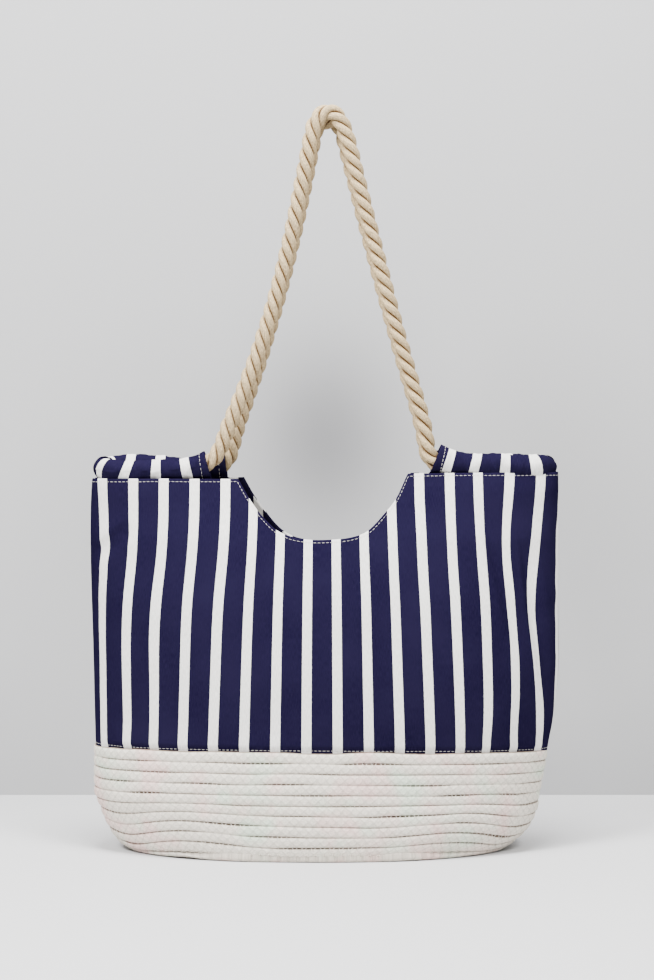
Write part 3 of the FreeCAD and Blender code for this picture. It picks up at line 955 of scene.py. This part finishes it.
def make_zigzag():
    """The zigzag thread that joins each turn of the cord to the next, with painted shade where it enters
    the cord.
    """
    pitch, reach, thread_radius, sides = 9.0, 4.0, 0.36, 6
    row, angle, distance = coil_path(pitch / 10, row_shift=-0.5, turns=COIL_TURNS - 1.6)
    middle, outward, upward = base_surface(row, angle)
    swing = 2.2 * (1 - 4 * np.abs(distance / pitch % 1.0 - 0.5)) / 2
    aside = reach * np.clip(swing, -1, 1)
    middle = middle + upward * (wobble(angle, row) + aside)[:, None]
    in_groove = np.clip(1 - np.abs(aside) / reach, 0, 1)
    depth = 3.0 * in_groove**2 + 0.9 * ease(np.abs(swing), 0.9, 1.1)
    middle = middle + outward * (CORD_DEPTH / 2 + 0.05 - depth)[:, None]
    points = tube(middle, outward, sides, np.full(len(row), thread_radius))
    points[..., 2] = np.maximum(points[..., 2], 0.0)
    # Painted shade at the ends, where the thread sinks into the cord.
    shade = np.repeat(1 - ease(np.abs(swing), 0.86, 0.98)[:, None], sides, 1)
    places = np.stack(np.meshgrid(np.arange(sides) * 0.4, distance), -1)
    make_piece("zigzag_thread", points, grid_faces(len(row), sides, around=True), SEWN_COTTON,
               uv=places, shade=shade)


def make_base_lining():
    """The plain cotton that covers the inside of the base: a wall and a floor."""
    for name, node, low, high, rows in (
        ("base_wall_cloth", "base_lining_wall", 6.6, COIL_TURNS, 50),
        ("base_floor_cloth", "base_lining_floor", 0.0, 7.0, 40),
    ):
        row = np.linspace(low, high, rows)[:, None]
        angle = np.linspace(0, 2 * math.pi, 361)[None, :-1]
        points, outward, _ = base_surface(row, angle)
        wrinkles = 0.7 * waves(points[..., 0], points[..., 1] + points[..., 2], 24.0, 24.0, 33)
        points = points - outward * (CORD_DEPTH / 2 + 1.6 - wrinkles)[..., None]
        places = np.stack([points[..., 0], points[..., 1] + points[..., 2]], -1)
        piece = make_piece(name, points, grid_faces(rows, 360, around=True), LINING,
                           stands_for=[node], uv=places)
        thicken(piece, LINING_THICKNESS)


# ------------------------------ stitches

def stitches(path, outward, pitch=4.1, length=2.9, thick=0.36):
    """Short raised threads along a path: their points and faces."""
    starts = np.arange(0.6, travelled(path)[-1] - length, pitch)
    part = np.array([0.0, 0.12, 0.5, 0.88, 1.0])
    swell = np.array([0.25, 0.85, 1.0, 0.85, 0.25])
    lift = np.array([-0.15, 0.12, 0.2, 0.12, -0.15])
    where = (starts[:, None] + part[None, :] * length).ravel()
    centre, normal = at_distances(path, where, outward)
    shape = (len(starts), len(part), 3)
    centre, normal = centre.reshape(shape), unit(normal).reshape(shape)
    centre = centre + normal * lift[None, :, None]
    sides = 6
    points = tube(centre, normal, sides, np.broadcast_to(swell * thick / 2, shape[:2]))
    one = grid_faces(len(part), sides, around=True)
    faces = one[None] + (np.arange(len(starts)) * len(part) * sides)[:, None, None]
    return points.reshape(-1, 3), faces.reshape(-1, 4)


EDGE_GAP = 2.4  # from the upper edge of a panel to its stitches
SEAM_GAP = 2.0  # from the cord to the stitches above it


def read_columns(points, normals, known, wanted):
    """In each column of a panel, the place and normal where a rising value is the wanted one."""
    return tuple(
        np.array([
            [np.interp(want, value, grid[:, column, axis]) for axis in range(3)]
            for column, (value, want) in enumerate(zip(known, wanted))
        ])
        for grid in (points, normals)
    )


def beside_edge(points, normals, gap):
    """A line on a panel that runs beside its upper edge."""
    edge = points[-1]
    slope = np.gradient(edge[:, 2]) / np.maximum(np.hypot(*np.gradient(edge[:, :2], axis=0).T), 1e-6)
    drop = gap * np.sqrt(1 + np.minimum(slope**2, 9.0))
    heights = [-travelled(points[::-1, column])[::-1] for column in range(points.shape[1])]
    return read_columns(points, normals, heights, -drop)


def at_level(points, normals, level):
    """A line on a panel at a level above its foot."""
    return read_columns(points, normals, points[..., 2].T, level)


def make_stitches(name, lines):
    """One piece of all the stitches along some lines."""
    points, faces, count = [], [], 0
    for path, outward in lines:
        more_points, more_faces = stitches(path, outward)
        points.append(more_points)
        faces.append(more_faces + count)
        count += len(more_points)
    make_piece(name, np.concatenate(points), np.concatenate(faces), THREAD)


# ------------------------------ the room

def make_sheet_of_room(name, corners, material):
    mesh = bpy.data.meshes.new(name)
    mesh.from_pydata(corners, [], [(0, 1, 2, 3)])
    mesh.materials.append(material)
    plane = bpy.data.objects.new(name, mesh)
    bpy.context.scene.collection.objects.link(plane)


def see_through_behind(material):
    """Makes a surface vanish when one looks at its back."""
    nodes, links = material.node_tree.nodes, material.node_tree.links
    side = nodes.new("ShaderNodeNewGeometry")
    clear = nodes.new("ShaderNodeBsdfTransparent")
    mix = nodes.new("ShaderNodeMixShader")
    output = nodes["Material Output"]
    links.new(side.outputs["Backfacing"], mix.inputs[0])
    links.new(nodes["Principled BSDF"].outputs[0], mix.inputs[1])
    links.new(clear.outputs[0], mix.inputs[2])
    links.new(mix.outputs[0], output.inputs[0])


def wall_paint():
    """A plain grey with a painted shadow of the bag: a little darker in a soft oval behind the neckline.
    """
    paint = Paint("wall_paint", 0.9)
    axes = paint.add("SeparateXYZ", Vector=paint.place())
    level, half_width, half_height = 0.405, 0.085, 0.11
    across = paint.math("DIVIDE", axes.outputs[0], half_width)
    up = paint.math("DIVIDE", paint.math("SUBTRACT", axes.outputs[2], level), half_height)
    away = paint.math("ADD", paint.math("MULTIPLY", across, across), paint.math("MULTIPLY", up, up))
    oval = paint.math("EXPONENT", paint.math("MULTIPLY", away, -1.0))
    # The darker oval is a painted shadow of the bag on the wall.
    paint.colour(paint.mix(oval, rgb(0.385, 0.385, 0.39), rgb(0.20, 0.20, 0.205)))
    return paint.material


def make_room():
    """A pale floor and wall, and a camera straight in front."""
    floor = plain_paint("floor_paint", rgb(0.53, 0.53, 0.535), 0.8)
    wall = wall_paint()
    see_through_behind(wall)
    wide, high, back = 8.0, 7.0, WALL_DISTANCE
    across = ((-wide, -wide), (wide, -wide), (wide, wide), (-wide, wide))
    make_sheet_of_room("floor", [(x, y, 0) for x, y in across], floor)
    corners = ((-wide, 0), (wide, 0), (wide, high), (-wide, high))
    make_sheet_of_room("wall", [(x, back, z) for x, z in corners], wall)
    data = bpy.data.cameras.new("camera")
    data.lens = CAMERA_LENS
    camera = bpy.data.objects.new("camera", data)
    camera.location = CAMERA_PLACE
    camera.rotation_euler = (math.pi / 2 - CAMERA_TILT, 0, 0)
    bpy.context.scene.collection.objects.link(camera)
    bpy.context.scene.camera = camera


def make_light(name, place, target, size, power):
    data = bpy.data.lights.new(name, "AREA")
    data.shape = "DISK"
    data.size = size
    data.energy = power
    lamp = bpy.data.objects.new(name, data)
    lamp.location = place
    lamp.rotation_euler = (Vector(target) - Vector(place)).to_track_quat("-Z", "Y").to_euler()
    bpy.context.scene.collection.objects.link(lamp)


def make_lights():
    world = bpy.data.worlds.new("air")
    bpy.context.scene.world = world
    world.use_nodes = True
    world.node_tree.nodes["Background"].inputs[0].default_value = rgb(1.0, 1.0, 1.0)
    world.node_tree.nodes["Background"].inputs[1].default_value = 0.6
    make_light("left_softbox", (-1.1, -1.25, 1.8), (0.0, 0.0, 0.3), 0.7, 97.0)
    make_light("right_softbox", (0.9, -1.3, 1.8), (0.0, 0.0, 0.3), 0.7, 50.0)
    make_light("top_softbox", (0.0, -0.5, 2.3), (0.0, 0.0, 0.3), 1.0, 110.0)


make_room()
make_handle("front", FRONT_ROUTE, 60)
make_handle("back", BACK_ROUTE, 64)
for hand_name in ("left", "right"):
    make_casing_rope(hand_name)
make_band()
seam_lines = []
for behind in (False, True):
    panel_points, panel_normals = make_panel(behind)
    make_lining(behind)
    make_facing(behind)
    seam_lines.append(beside_edge(panel_points, panel_normals, EDGE_GAP))
    above_seam = seam_level(panel_points[0, :, 0], behind) + SEAM_GAP
    seam_lines.append(at_level(panel_points, panel_normals, above_seam))
for face_name, hand_name in CASINGS:
    seam_lines.append(make_casing(face_name, hand_name))
make_stitches("seam_stitches", seam_lines)
make_coil()
make_zigzag()
make_base_lining()
make_lights()
